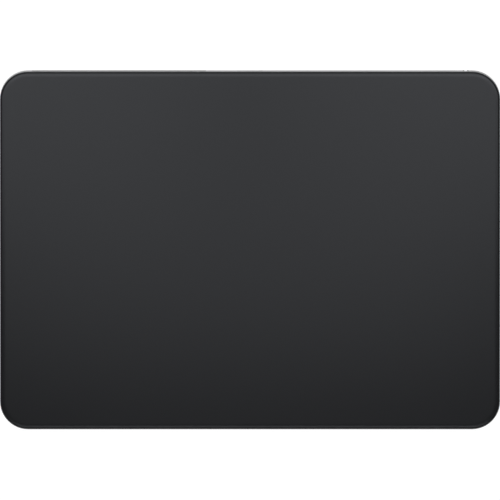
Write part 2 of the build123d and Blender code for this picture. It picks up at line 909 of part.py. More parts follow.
def port_bracket():
    """The strap over the socket, screwed through the board on both sides."""
    foot_z = board_top + strap_thickness / 2
    top_z = rear_line_z + port_outer_height / 2 + strap_thickness / 2
    leg_x = port_outer_width / 2 + strap_side_gap + strap_thickness / 2
    left = [(-strap_reach, foot_z), (-leg_x, foot_z), (-leg_x, top_z)]
    right = [(-x, z) for x, z in reversed(left)]
    side = make_face(Polyline(*strip_side(left + right, strap_thickness), close=True))
    strap = Pos(0, strap_y, 0) * Rot(X=90) * extrude(side, strap_width / 2, both=True)
    for x, y in strap_screw_places:
        strap -= Pos(x, y, board_top) * post(screw_hole_diameter, strap_thickness)
    return strap


def port_screws():
    """The two screws of the strap."""
    shank = board_top + strap_thickness - floor_top
    return [Pos(x, y, board_top + strap_thickness) * screw(shank) for x, y in strap_screw_places]


def port_gasket():
    """The soft ring around the socket, between board and rear wall."""
    front = board_rear + gasket_board_gap
    rear = rear_wall_y(rear_line_z + port_outer_height / 2 + gasket_width) - wall - gasket_wall_gap
    outer = SlotOverall(port_outer_width + 2 * gasket_width, port_outer_height + 2 * gasket_width)
    inner = SlotOverall(port_outer_width, port_outer_height)
    ring = extrude(outer, rear - front) - extrude(inner, rear - front)
    return Pos(0, rear, rear_line_z) * Rot(X=90) * ring


# Antenna

window_length = width / 2 - window_outer_inset - window_inner_offset
window_middle = -window_inner_offset - window_length / 2


def window_place():
    """The middle of the window in the frame of the rear face."""
    return window_middle, rear_line_drop


def window_outline(lip):
    """The outline of the window, made larger all round by a lip."""
    radius = window_radius + lip
    return RectangleRounded(window_length + 2 * lip, window_height + 2 * lip, radius)


def antenna_window():
    """The plastic strip in the rear wall, flush outside, with a bonding lip inside."""
    strip = Pos(0, 0, -wall) * extrude(window_outline(0), wall)
    lip = Pos(0, 0, -wall - window_flange) * extrude(window_outline(window_flange_lip), window_flange)
    return rear_face * Pos(*window_place()) * (strip + lip)


def antenna_flex():
    """The antenna film bonded to the inside of the window."""
    outline = RectangleRounded(window_length - 2 * antenna_margin, antenna_height, window_radius)
    depth_inside = wall + window_flange + antenna_thickness
    return rear_face * Pos(*window_place(), -depth_inside) * extrude(outline, antenna_thickness)


def antenna_cable():
    """The thin round lead from the antenna film down to the wireless shield."""
    radius = coax_diameter / 2
    start_x = wireless_shield_x - shield_length / 2 - antenna_margin
    film_y = rear_wall_y(rear_line_z) - (wall + window_flange + antenna_thickness) / math.cos(slope)
    start = (start_x, film_y - radius - contact_thickness, rear_line_z + coax_rise)
    corner = (start_x, shield_y, rear_line_z + coax_rise)
    shield_top = board_top + shield_height
    lead = FilletPolyline(
        start,
        corner,
        (wireless_shield_x, shield_y, shield_top + radius),
        radius=coax_bend,
    )
    section = Plane(origin=start, z_dir=(0, -1, 0)) * Circle(radius)
    return sweep(section, path=lead)


# Power switch

knob_front = rear_wall_y(rear_line_z) + knob_proud
slot_floor_y = rear_wall_y(rear_line_z + slot_height / 2) - slot_floor_depth
slider_front = switch_front_face - switch_face - slider_gap
slider_back = switch_back_face + slider_gap
slider_height = switch_body_height - 2 * (switch_shell + slider_gap)
stem_slit = span(rear_line_z, stem_height + 2 * stem_gap)


def switch_housing():
    """The body behind the slot: a nose that fills the slot up to its floor, and a box for the slider."""
    low, high = switch_span
    body = block(low, high, switch_back_face, switch_front_face, switch_bottom, switch_top)
    nose_length = slot_floor_y - switch_front_face
    nose = extrude(slot_outline(switch_nose_gap), nose_length)
    body += Pos(slot_middle, slot_floor_y, rear_line_z) * Rot(X=90) * nose
    inside = low + switch_shell, high - switch_shell, switch_back_face, switch_front_face - switch_face
    body -= block(*inside, switch_bottom + switch_shell, switch_top - switch_shell)
    slit_x = span(knob_middle - switch_travel / 2, switch_travel + stem_width + 2 * stem_gap)
    body -= block(*slit_x, switch_back_face, knob_front, *stem_slit)
    body += block(switch_ear_end, low, switch_back_face, switch_front_face, switch_bottom, switch_ear_z)
    body -= Pos(switch_ear_x, switch_ear_y, switch_bottom) * post(screw_hole_diameter, switch_ear_thickness)
    return body


def switch_marker():
    """The coloured film on the slot floor that the knob covers until it is slid on."""
    high = slot_middle + slot_width / 2 - slot_radius
    low = knob_middle - knob_width / 2
    film_z = span(rear_line_z, slot_height - 4 * switch_nose_gap)
    film = block(low, high, slot_floor_y, slot_floor_y + marker_thickness, *film_z)
    return film - block(low - overrun, high + overrun, slot_floor_y, knob_front, *stem_slit)


def switch_knob():
    """The knob, with a ridge down its middle, and the stem that reaches through the slit to the slider."""
    back = slot_floor_y + marker_thickness + stem_gap
    outline = RectangleRounded(knob_width, slot_height - 2 * knob_gap, slot_radius - knob_gap)
    cap = Pos(knob_middle, knob_front, rear_line_z) * Rot(X=90) * extrude(outline, knob_front - back)
    ridge = span(knob_middle, knob_ridge_width)
    shoulder_y = knob_front - knob_step
    for low, high in (ridge[0] - knob_width, ridge[0]), (ridge[1], ridge[1] + knob_width):
        cap -= block(low, high, shoulder_y, knob_front, 0, rear_height)
    front = cap.faces().sort_by(Axis.Y)[-1]
    cap = fillet(front.edges(), knob_edge_radius)
    stem_end = slider_front - slider_socket_depth
    return cap + block(*span(knob_middle, stem_width), stem_end, back, *span(rear_line_z, stem_height))


def switch_slider():
    """The contact slider, which the stem of the knob plugs into."""
    slider_x = span(knob_middle, slider_length)
    body = block(*slider_x, slider_back, slider_front, *span(rear_line_z, slider_height))
    socket_x = span(knob_middle, stem_width + 2 * thread_clearance)
    socket_z = span(rear_line_z, stem_height + 2 * thread_clearance)
    return body - block(*socket_x, slider_front - slider_socket_depth, slider_front, *socket_z)


def switch_board():
    """The small board that closes the back of the switch."""
    return block(*switch_span, switch_board_front, switch_back_face, switch_bottom, switch_top)


def switch_screw():
    """The screw through the ear of the switch."""
    return Pos(switch_ear_x, switch_ear_y, switch_ear_z) * screw(switch_ear_z - floor_top)


# Flat cables

def haptic_cable():
    """A strip on the bracket behind the cores, and a tail under the battery and up to the board."""
    strip_front = haptic_along + core_width / 2 + haptic_ribbon_margin
    strip_rear = haptic_rear - haptic_ribbon_margin
    strip_level = bracket_level - ribbon_thickness
    strip = deck_block(*span(0, core_span), strip_front, strip_rear, strip_level, ribbon_thickness)
    tail_level = bracket_level - ribbon_thickness / 2
    tail_start = deck_y(strip_front, tail_level)
    edge_y = deck_y(haptic_rear, tail_level) + ribbon_gap / 2
    edge_z = deck_z(edge_y, tail_level)
    ribbon_low = floor_top + ribbon_thickness / 2
    connector_front = front_connector_y - connector_depth / 2
    path = [
        (tail_start, deck_z(tail_start, tail_level)),
        (edge_y, edge_z),
        (edge_y + edge_z - ribbon_low, ribbon_low),
        (battery_rear + ribbon_gap / 4, ribbon_low),
        (connector_front - ribbon_gap / 2, connector_level),
        (connector_front, connector_level),
    ]
    return strip + ribbon_along_y(path, front_connector_offset, haptic_ribbon_width)


def force_cable(sign):
    """From the front gauge back along the floor, with a branch up to the rear gauge, to the board."""
    ribbon_low = floor_top + ribbon_thickness / 2
    trunk_x = sign * (beam_root_inner - beam_neck_length / 2)
    front_along = beam_corners["front_left"][1]
    rear_along = beam_corners["rear_left"][1]
    gauge_level = pedestal_level + gauge_thickness
    front_y = deck_y(front_along, gauge_level)
    rear_y = deck_y(rear_along, gauge_level)
    front_z = deck_z(front_y, gauge_level) - ribbon_thickness
    rear_z = deck_z(rear_y, gauge_level) - ribbon_thickness
    trunk = ribbon_along_y(
        [
            (front_y - gauge_width / 2, front_z),
            (front_y + gauge_width / 2, front_z),
            (front_y + gauge_width / 2 + ribbon_bend, ribbon_low),
            (force_connector_y + force_ribbon_width / 2, ribbon_low),
        ],
        trunk_x,
        force_ribbon_width,
    )
    branch = ribbon_along_y(
        [
            (rear_y - rear_z - 2 * ribbon_bend, ribbon_low),
            (rear_y - rear_z - ribbon_bend, ribbon_low),
            (rear_y - gauge_width / 2, rear_z),
            (rear_y + gauge_width / 2, rear_z),
        ],
        trunk_x,
        force_ribbon_width,
    )
    end_x = sign * (board_edge_connector_x + connector_depth / 2)
    over_x = sign * (board_half + ribbon_gap / 2)
    outer_x = trunk_x - sign * (force_ribbon_width / 2 + ribbon_gap / 2)
    path = [(end_x, connector_level), (over_x, connector_level), (outer_x, ribbon_low), (trunk_x, ribbon_low)]
    return trunk + branch + ribbon_along_x(path, force_connector_y, force_ribbon_width)


def battery_cable():
    """From the protection board of the cell to its connector."""
    start_z = seal_top + battery_board_thickness + ribbon_thickness / 2
    end_y = front_connector_y - connector_depth / 2
    path = [
        (battery_rear - battery_board_width, start_z),
        (battery_rear - ribbon_gap / 2, start_z),
        (end_y - ribbon_gap / 4, connector_level),
        (end_y, connector_level),
    ]
    return ribbon_along_y(path, -front_connector_offset, battery_ribbon_width)


def switch_cable():
    """From the small board of the switch to the logic board."""
    end_x = board_edge_connector_x + connector_depth / 2
    bonded_x = switch_span[0] + switch_ribbon_bond
    path = [(end_x, connector_level), (bonded_x, connector_level)]
    return ribbon_along_x(path, switch_connector_y, switch_ribbon_width)


def touch_flex():
    """From under the sensor board around a loop and down to its connector, clear of it as it shifts."""
    bond_y = touch_loop_y - touch_ribbon_bond
    level = stiffener_level + ribbon_thickness / 2
    end_y = front_connector_y + connector_depth / 2 + haptic_travel + touch_ribbon_end_gap
    bend = touch_ribbon_loop / 2
    loop_top = deck_z(touch_loop_y, level)
    path = [
        (bond_y, deck_z(bond_y, level)),
        (touch_loop_y, loop_top),
        (touch_loop_y + bend * corner_share, loop_top - bend * (1 - corner_share)),
        (touch_loop_y + bend, loop_top - bend),
        (touch_loop_y + bend, connector_level + bend),
        (touch_loop_y + bend * corner_share, connector_level + bend * (1 - corner_share)),
        (touch_loop_y, connector_level),
        (end_y, connector_level),
    ]
    return ribbon_along_y(path, touch_flex_x, touch_ribbon_width)


# All the nodes

def nodes():
    """Every sub-part by its name."""
    parts = {
        "enclosure": enclosure(),
        "bottom_cover": underside_sheet(underside, cover_thickness),
        "cover_adhesive": underside_sheet(cover_top, cover_film),
        "cover_glass": cover_glass(),
        "glass_adhesive": inset_plate(wall + sensor_gap, film_level, glass_film),
        "touch_sensor_board": inset_plate(wall + sensor_gap, sensor_level, sensor_thickness),
        "stiffener_plate": stiffener_plate(),
        "attraction_plate": attraction_plate(),
        "touch_controller_chips": group(touch_chips()),
        "touch_flex": touch_flex(),
        "isolator_pads": group([isolator_pad(*corner) for corner in beam_corners.values()]),
        "strain_gauges": group([strain_gauge(*corner) for corner in beam_corners.values()]),
        "beam_screws": group(beam_screws()),
        "force_cables": group([force_cable(sign) for sign in side_signs]),
        "haptic_bracket": haptic_bracket(),
        "haptic_cores": group([haptic_core(x) for x in core_spots()]),
        "haptic_coils": group([haptic_coil(x) for x in core_spots()]),
        "haptic_screws": group(haptic_screws()),
        "haptic_cable": haptic_cable(),
        "battery_cell": battery_cell(),
        "battery_adhesive": group(battery_strips()),
        "battery_board": battery_board(),
        "battery_cable": battery_cable(),
        "logic_board": logic_board(),
        "logic_board_screws": group(board_screws()),
        "wireless_shield": shield_can(wireless_shield_x),
        "power_shield": shield_can(power_shield_x),
        "board_chips": group(board_chips()),
        "board_connectors": group(board_connectors()),
        "port_shell": port_shell(),
        "port_tongue": port_tongue(),
        "port_contacts": group(port_contacts()),
        "port_bracket": port_bracket(),
        "port_screws": group(port_screws()),
        "port_gasket": port_gasket(),
        "antenna_window": antenna_window(),
        "antenna_flex": antenna_flex(),
        "antenna_cable": antenna_cable(),
        "switch_housing": switch_housing(),
        "switch_marker": switch_marker(),
        "switch_board": switch_board(),
        "switch_screw": switch_screw(),
        "switch_cable": switch_cable(),
        "switch_knob": switch_knob(),
        "switch_slider": switch_slider(),
    }
    for name, place in foot_places().items():
        parts[name] = foot(*place)
    for corner, (sign, along) in beam_corners.items():
        parts["force_beam_" + corner] = beam(sign, along)
    return parts


os.makedirs("parts", exist_ok=True)
for name, shape in nodes().items():
    export_step(shape, os.path.join("parts", name + ".step"))
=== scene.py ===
import json
import math

import bpy
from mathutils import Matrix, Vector

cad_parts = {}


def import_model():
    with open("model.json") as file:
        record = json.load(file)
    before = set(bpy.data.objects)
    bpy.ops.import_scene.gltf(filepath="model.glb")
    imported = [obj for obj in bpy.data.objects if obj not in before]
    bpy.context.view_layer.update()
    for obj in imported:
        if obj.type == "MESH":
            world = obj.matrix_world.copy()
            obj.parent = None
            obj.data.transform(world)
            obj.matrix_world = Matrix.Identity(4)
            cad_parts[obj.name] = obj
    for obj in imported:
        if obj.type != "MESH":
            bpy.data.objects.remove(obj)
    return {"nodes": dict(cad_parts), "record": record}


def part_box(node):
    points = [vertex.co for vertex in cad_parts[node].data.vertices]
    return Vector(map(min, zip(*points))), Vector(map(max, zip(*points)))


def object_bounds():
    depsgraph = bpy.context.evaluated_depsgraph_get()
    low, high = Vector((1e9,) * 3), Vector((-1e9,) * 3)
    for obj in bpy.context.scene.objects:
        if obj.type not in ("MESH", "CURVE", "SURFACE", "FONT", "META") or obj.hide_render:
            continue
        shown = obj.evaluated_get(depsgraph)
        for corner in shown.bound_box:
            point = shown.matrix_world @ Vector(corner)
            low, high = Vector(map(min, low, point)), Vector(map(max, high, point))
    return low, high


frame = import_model()
cad_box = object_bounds()

MM = 0.001

# The photo: 500 pixels square, the trackpad seen from straight above and as wide as the picture
PHOTO_SIDE = 500
PHOTO_LEFT_COLUMN = -0.15
PHOTO_RIGHT_COLUMN = 500.25
PHOTO_REAR_ROW = 70.4
PHOTO_FRONT_ROW = 428.8

# The camera: a lens so long for its sensor, both in millimetres, that hardly any perspective shows,
# and how far it sees, in metres
SENSOR = 36.0
LENS = 1600.0
CAMERA_REACH = 100.0

# Half the width of the bright ridge down the middle of the knob; beyond it the steps are painted dark as
# shade
KNOB_BRIGHT_HALF = 0.41 * MM

# The haptic magnet: its cores in a row, the gap between two of them, and the wire of its coils
CORE_COUNT = 3
CORE_GAP = 4.0 * MM
WIRE = 0.18 * MM

# Pitches of the repeated marks on the electronics, and the share of each pitch that a mark takes
TRACE_PITCH, TRACE_SHARE = 0.5 * MM, 0.45
ELECTRODE_PITCH, ELECTRODE_GAP_SHARE = 5.0 * MM, 0.05
CABLE_LINE_PITCH, CABLE_LINE_SHARE = 0.4 * MM, 0.5
CONTACT_PITCH, CONTACT_SHARE = 0.4 * MM, 0.4

# Plated holes in a circuit board: their spacing, and the radius of ring and hole as a share of it
HOLE_SPACING, RING_RADIUS, HOLE_RADIUS = 1.3 * MM, 0.13, 0.06

# Sheets of the iron cores, with the share that the dark seam between two takes, and turns of a screw
SHEET_PITCH, SEAM_SHARE = 0.5 * MM, 0.14
THREAD_PITCH = 0.35 * MM

# Nearly all of a noise lies between these two values
NOISE_LOW, NOISE_HIGH = 0.3, 0.7

# A Mix node's sockets for colours, by number, since those for values and vectors have the same names
MIX_FACTOR, MIX_FIRST, MIX_SECOND, MIX_RESULT = 0, 6, 7, 2

# The floor: its side in metres, its true tone, and a gap that keeps it clear of the feet's faces
FLOOR_SIDE = 40.0
FLOOR_TONE = 0.8
FLOOR_GAP = 0.02 * MM

# Where the floor is seen: its own glow, where 1 is white, and the share of the light on it that shows
FLOOR_GLOW = 0.85
FLOOR_SHARE = 0.25

# The world: its even light, and the tone of the ceiling that reflections see above white walls. A
# rise is the sine of an angle: up to the first all is wall, and from the second on all is ceiling.
WORLD_LEVEL = 0.7
CEILING_TONE = 0.17
WALL_RISE, CEILING_RISE = 0.0, 0.3

# The lamps, in metres: name, place, the point it faces, size along X and along Y, and radiance. The
# strips make the two thin lines of light along the rear and front edge of the glass.
LAMPS = (
    ("rear_softbox", (-0.121, 0.141, 0.36), (-0.121, 0.141, 0.0), 0.226, 0.334, 1.13),
    ("rear_softbox", (0.121, 0.141, 0.36), (0.121, 0.141, 0.0), 0.226, 0.334, 1.13),
    ("middle_softbox", (0.0, -0.048, 0.36), (0.0, -0.048, 0.0), 0.19, 0.058, 0.8),
    ("rear_strip", (0.0, 0.092, 0.35), (0.0, 0.057, 0.0), 0.4, 0.035, 1.5),
    ("front_strip", (0.0, -0.285, 0.5), (0.0, -0.057, 0.0), 0.4, 0.03, 4.6),
)


# Places and colours

def extent(box):
    """The size of a box, which is given as its lowest and highest corners."""
    lowest, highest = (Vector(corner) for corner in box)
    return highest - lowest


def centre(box):
    """The middle of a box."""
    lowest, highest = (Vector(corner) for corner in box)
    return (lowest + highest) / 2


def grey(tone):
    """A colour without a hue."""
    return (tone, tone, tone)


def shade(colour, factor):
    """A colour made lighter or darker."""
    return tuple(channel * factor for channel in colour)


# Node helpers

class Nodes:
    """A node tree under construction, with short ways to add and join its nodes."""

    def __init__(self, tree):
        self.tree = tree

    def add(self, kind, **values):
        """A node with some of its settings."""
        node = self.tree.nodes.new("ShaderNode" + kind)
        for key, value in values.items():
            setattr(node, key, value)
        return node

    def feed(self, socket, value):
        """Puts a plain value, a colour or another node's output into a socket."""
        if isinstance(value, bpy.types.NodeSocket):
            self.tree.links.new(value, socket)
        elif isinstance(value, tuple):
            socket.default_value = (*value, 1.0) if len(socket.default_value) > len(value) else value
        else:
            socket.default_value = value

    def calc(self, operation, first, second=0.0):
        """A sum or other function of one or two values."""
        node = self.add("Math", operation=operation)
        self.feed(node.inputs[0], first)
        self.feed(node.inputs[1], second)
        return node.outputs[0]

    def split(self, vector, axis):
        """The X, Y or Z of a vector."""
        node = self.add("SeparateXYZ")
        self.feed(node.inputs[0], vector)
        return node.outputs[axis]

    def ramp(self, source, stops):
        """A colour ramp through (place, colour) stops."""
        node = self.add("ValToRGB")
        points = node.color_ramp.elements
        while len(points) < len(stops):
            points.new(0.5)
        for point, (place, colour) in zip(points, stops):
            point.position = place
            point.color = (*colour, 1.0)
        self.feed(node.inputs["Fac"], source)
        return node.outputs["Color"]

    def mixed(self, factor, first, second, blend_type="MIX"):
        """A blend of two colours."""
        node = self.add("Mix", data_type="RGBA", blend_type=blend_type)
        for place, value in ((MIX_FACTOR, factor), (MIX_FIRST, first), (MIX_SECOND, second)):
            self.feed(node.inputs[place], value)
        return node.outputs[MIX_RESULT]

    def background_rays(self):
        """1 for rays that show the background itself: straight, mirrored or through glass."""
        path = self.add("LightPath")
        straight_or_mirrored = self.calc(
            "MAXIMUM", path.outputs["Is Camera Ray"], path.outputs["Is Glossy Ray"])
        return self.calc("MAXIMUM", straight_or_mirrored, path.outputs["Is Transmission Ray"])


class Finish(Nodes):
    """A material whose marks lie where the object's own coordinates put them."""

    def __init__(self, name):
        self.material = bpy.data.materials.new(name)
        self.material.use_nodes = True
        super().__init__(self.material.node_tree)
        self.shader = self.tree.nodes["Principled BSDF"]
        self.where = self.add("TexCoord").outputs["Object"]

    def set(self, **values):
        """Plain values on the shader's own sockets."""
        for key, value in values.items():
            self.feed(self.shader.inputs[key.replace("_", " ")], value)

    def stretched(self, scale):
        """The object's own coordinates, scaled along each axis."""
        mapping = self.add("Mapping")
        self.feed(mapping.inputs["Vector"], self.where)
        self.feed(mapping.inputs["Scale"], scale)
        return mapping.outputs["Vector"]

    def noise(self, grain, detail=2.0, stretch=None):
        """Noise with grains of a size in metres, drawn out along an axis by a small stretch value."""
        node = self.add("TexNoise")
        self.feed(node.inputs["Vector"], self.stretched(stretch) if stretch else self.where)
        self.feed(node.inputs["Scale"], 1 / grain)
        self.feed(node.inputs["Detail"], detail)
        return node.outputs["Fac"]

    def cells(self, grain, **values):
        """Cells of a size in metres."""
        node = self.add("TexVoronoi", **values)
        self.feed(node.inputs["Vector"], self.where)
        self.feed(node.inputs["Scale"], 1 / grain)
        return node

    def along(self, axis):
        """The place along X, Y or Z."""
        return self.split(self.where, axis)

    def saw(self, place, pitch):
        """Runs from 0 to 1 over each pitch of a place."""
        return self.calc("FRACT", self.calc("DIVIDE", place, pitch))

    def stripes(self, place, pitch, share):
        """1 on a share of each pitch, else 0."""
        return self.calc("LESS_THAN", self.saw(place, pitch), share)

    def ridges(self, place, pitch):
        """Round ridges with a pitch, as a height from 0 to 1."""
        return self.calc("SINE", self.calc("MULTIPLY", self.saw(place, pitch), math.pi))

    def distance(self, axis, place):
        """How far along an axis from a place, either way."""
        return self.calc("ABSOLUTE", self.calc("SUBTRACT", self.along(axis), place))

    def uneven(self, source, colour, depth):
        """A colour that a noise makes a little lighter and darker."""
        stops = (NOISE_LOW, shade(colour, 1 - depth)), (NOISE_HIGH, shade(colour, 1 + depth))
        return self.ramp(source, stops)

    def colour(self, source):
        """The surface's colour."""
        self.feed(self.shader.inputs["Base Color"], source)

    def metal(self, source):
        """Where the surface is bare metal."""
        self.feed(self.shader.inputs["Metallic"], source)

    def rough(self, source, lowest, highest):
        """Roughness that a factor spreads between two values."""
        node = self.add("MapRange")
        for name, value in (("Value", source), ("To Min", lowest), ("To Max", highest)):
            self.feed(node.inputs[name], value)
        self.feed(self.shader.inputs["Roughness"], node.outputs["Result"])

    def bump(self, source, height, strength):
        """Relief of a height in metres, on top of any relief that is there."""
        node = self.add("Bump")
        self.feed(node.inputs["Distance"], height)
        self.feed(node.inputs["Strength"], strength)
        self.feed(node.inputs["Height"], source)
        normal = self.shader.inputs["Normal"]
        if normal.is_linked:
            self.feed(node.inputs["Normal"], normal.links[0].from_socket)
        self.feed(normal, node.outputs["Normal"])


# Finishes of the outside

def anodised_body(finish):
    """Aluminium, bead-blasted to a fine even grain and clear anodised."""
    finish.set(Metallic=1.0, Specular_Tint=grey(0.33))
    beads = finish.cells(0.09 * MM).outputs["Distance"]
    tone = finish.uneven(finish.noise(9 * MM), (0.58, 0.586, 0.597), 0.02)
    speck = finish.ramp(beads, [(0.0, grey(0.93)), (0.6, grey(1.0))])
    finish.colour(finish.mixed(1.0, tone, speck, "MULTIPLY"))
    finish.rough(finish.noise(0.6 * MM), 0.36, 0.44)
    finish.bump(beads, 0.004 * MM, 0.5)


def black_glass(finish):
    """Glass printed black below and etched to a fine satin above."""
    finish.set(Specular_IOR_Level=0.5, Specular_Tint=(0.91, 0.94, 1.0))
    finish.colour(finish.uneven(finish.noise(16 * MM), (0.0015, 0.0015, 0.0018), 0.08))
    finish.rough(finish.noise(0.8 * MM), 0.245, 0.26)
    finish.bump(finish.noise(0.05 * MM, 1.0), 0.0002 * MM, 0.2)


def satin_plastic(finish, colour, level, lowest, highest):
    """Plastic with a fine spark-eroded texture, as glossy as its specular level."""
    finish.set(Specular_IOR_Level=level)
    finish.colour(finish.uneven(finish.noise(0.5 * MM), colour, 0.02))
    finish.rough(finish.noise(0.7 * MM), lowest, highest)
    finish.bump(finish.noise(0.12 * MM, 1.5), 0.006 * MM, 0.6)


def underside_plate(finish):
    """The pale plate that closes the underside."""
    satin_plastic(finish, (0.6, 0.61, 0.62), 0.5, 0.42, 0.52)


def grey_plastic(finish):
    """The window in the rear face: dark plastic with hardly any shine."""
    satin_plastic(finish, (0.09, 0.09, 0.092), 0.012, 0.5, 0.6)


def knob_plastic(finish):
    """Satin paint with a little metal in it, bright on the ridge, with painted shade darkening the steps
    beside it.
    """
    finish.set(Metallic=0.9)
    flakes = finish.cells(0.05 * MM).outputs["Color"]
    aside = finish.distance("X", centre(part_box("switch_knob")).x)
    shaded_step = finish.calc("GREATER_THAN", aside, KNOB_BRIGHT_HALF)
    paint = finish.uneven(finish.noise(0.5 * MM), (0.82, 0.83, 0.85), 0.02)
    # Painted shade: the steps beside the ridge take a near-black colour that stands in for the shade
    # there
    finish.colour(finish.mixed(shaded_step, finish.mixed(0.04, paint, flakes), (0.025, 0.025, 0.026)))
    finish.rough(finish.noise(0.2 * MM), 0.24, 0.32)


def green_film(finish):
    """A printed film: even colour under a thin clear gloss."""
    finish.set(Coat_Weight=0.6, Coat_Roughness=0.12)
    finish.colour(finish.uneven(finish.noise(0.3 * MM), (0.05, 0.55, 0.12), 0.05))
    finish.rough(finish.noise(0.1 * MM), 0.35, 0.45)


def foot_rubber(finish):
    """Moulded soft rubber, with dust caught in its pores."""
    finish.set(Specular_IOR_Level=0.35, Sheen_Weight=0.15, Sheen_Roughness=0.6)
    pores = finish.noise(0.1 * MM, 3.0)
    dusty = finish.calc("GREATER_THAN", pores, 0.66)
    rubber = finish.uneven(finish.noise(1.5 * MM), (0.085, 0.085, 0.09), 0.1)
    finish.colour(finish.mixed(dusty, rubber, grey(0.13)))
    finish.rough(finish.noise(0.4 * MM), 0.7, 0.85)
    finish.bump(pores, 0.015 * MM, 0.6)


# Finishes of sheet metal and screws

def sheet_metal(finish, colour, grain, stretch, lowest, highest):
    """Metal sheet with fine lines drawn out one way."""
    finish.set(Metallic=1.0)
    lines = finish.noise(grain, 3.0, stretch)
    finish.colour(finish.uneven(lines, colour, 0.08))
    finish.rough(lines, lowest, highest)
    finish.bump(lines, 0.003 * MM, 0.5)


def plain_aluminium(finish):
    """Rolled aluminium sheet, its lines along X."""
    sheet_metal(finish, (0.66, 0.66, 0.67), 0.15 * MM, (0.03, 1.0, 1.0), 0.28, 0.42)


def steel(finish):
    """Stamped steel sheet, its lines along X."""
    sheet_metal(finish, (0.5, 0.5, 0.51), 0.2 * MM, (0.1, 1.0, 1.0), 0.3, 0.45)


def spring_steel(finish):
    """Brushed spring sheet, its lines along Y."""
    sheet_metal(finish, (0.45, 0.45, 0.46), 0.1 * MM, (1.0, 0.04, 1.0), 0.22, 0.36)


def socket_steel(finish):
    """The plated steel of the socket, drawn along Y."""
    sheet_metal(finish, (0.15, 0.15, 0.155), 0.12 * MM, (1.0, 0.06, 1.0), 0.24, 0.34)


def tinned_steel(finish):
    """Tin plate, with the cloudy crystals of the plating."""
    finish.set(Metallic=1.0)
    clouds = finish.cells(0.8 * MM).outputs["Color"]
    tin = finish.uneven(finish.noise(0.3 * MM), (0.62, 0.63, 0.64), 0.04)
    finish.colour(finish.mixed(0.06, tin, clouds))
    finish.rough(finish.noise(0.5 * MM), 0.25, 0.4)
    finish.bump(finish.noise(0.6 * MM), 0.004 * MM, 0.5)


def screw_steel(finish):
    """Dark plated steel, with fine turned rings down the thread."""
    finish.set(Metallic=1.0)
    finish.colour(finish.uneven(finish.noise(0.3 * MM), (0.35, 0.35, 0.37), 0.1))
    finish.rough(finish.noise(0.1 * MM), 0.26, 0.4)
    finish.bump(finish.ridges(finish.along("Z"), THREAD_PITCH), 0.03 * MM, 0.7)


def core_iron(finish):
    """Thin iron laminations, stacked, with dark oxide between them."""
    finish.set(Metallic=0.9)
    seam = finish.stripes(finish.along("Y"), SHEET_PITCH, SEAM_SHARE)
    iron = finish.uneven(finish.noise(0.6 * MM), (0.22, 0.22, 0.23), 0.12)
    finish.colour(finish.mixed(seam, iron, (0.06, 0.055, 0.05)))
    finish.rough(finish.noise(0.3 * MM), 0.42, 0.58)


def copper_wire(finish):
    """Enamelled copper, wound in even turns round each core's middle pole, with painted shade in the
    grooves between turns.
    """
    finish.set(Metallic=0.85, Coat_Weight=0.5, Coat_Roughness=0.15)
    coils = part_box("haptic_coils")
    pitch = (extent(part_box("haptic_cores")).x + CORE_GAP) / CORE_COUNT
    cell = finish.calc("SUBTRACT", finish.along("X"), centre(coils).x)
    cell = finish.calc("DIVIDE", cell, pitch)
    off_x = finish.calc("SUBTRACT", cell, finish.calc("ROUND", cell))
    off_x = finish.calc("ABSOLUTE", finish.calc("MULTIPLY", off_x, pitch))
    off_y = finish.distance("Y", centre(coils).y)
    coil_length = extent(coils).x - (CORE_COUNT - 1) * pitch
    # Each turn reaches this much further from the middle of its coil along X than along Y
    longer = (coil_length - extent(coils).y) / 2
    ring = finish.calc("MAXIMUM", finish.calc("SUBTRACT", off_x, longer), off_y)
    turns = finish.ridges(ring, WIRE)
    layers = finish.ridges(finish.along("Z"), WIRE)
    # The mean of the two: each face is flat for one of them and shows the other
    relief = finish.calc("MULTIPLY", finish.calc("ADD", turns, layers), 0.5)
    copper = finish.uneven(finish.noise(1.2 * MM), (0.72, 0.33, 0.14), 0.1)
    # Painted shade: the colour darkens towards the bottom of each groove between turns; the same relief
    # also drives the bump
    finish.colour(finish.mixed(relief, (0.25, 0.09, 0.04), copper))
    finish.rough(finish.noise(0.3 * MM), 0.28, 0.4)
    finish.bump(relief, WIRE / 2, 0.8)


def gold_contact(finish):
    """Gold plating, rubbed along Y, the way a plug slides over it."""
    finish.set(Metallic=1.0)
    finish.colour(finish.uneven(finish.noise(0.2 * MM), (0.8, 0.58, 0.24), 0.05))
    finish.rough(finish.noise(0.1 * MM, 3.0, (1.0, 0.1, 1.0)), 0.2, 0.32)


# Finishes of the electronics

def traces(finish, mask, line, grain):
    """A solder mask over copper traces, which run along X or along Y from one patch to the next."""
    patch = finish.cells(grain, distance="CHEBYCHEV").outputs["Color"]
    turned = finish.calc("GREATER_THAN", patch, 0.5)
    straight = finish.calc("SUBTRACT", 1.0, turned)
    along_y = finish.stripes(finish.along("X"), TRACE_PITCH, TRACE_SHARE)
    along_x = finish.stripes(finish.along("Y"), TRACE_PITCH, TRACE_SHARE)
    along_y = finish.calc("MULTIPLY", along_y, turned)
    along_x = finish.calc("MULTIPLY", along_x, straight)
    path = finish.calc("ADD", along_y, along_x)
    board = finish.uneven(finish.noise(3 * MM), mask, 0.1)
    finish.bump(path, 0.02 * MM, 0.6)
    return finish.mixed(path, board, line)


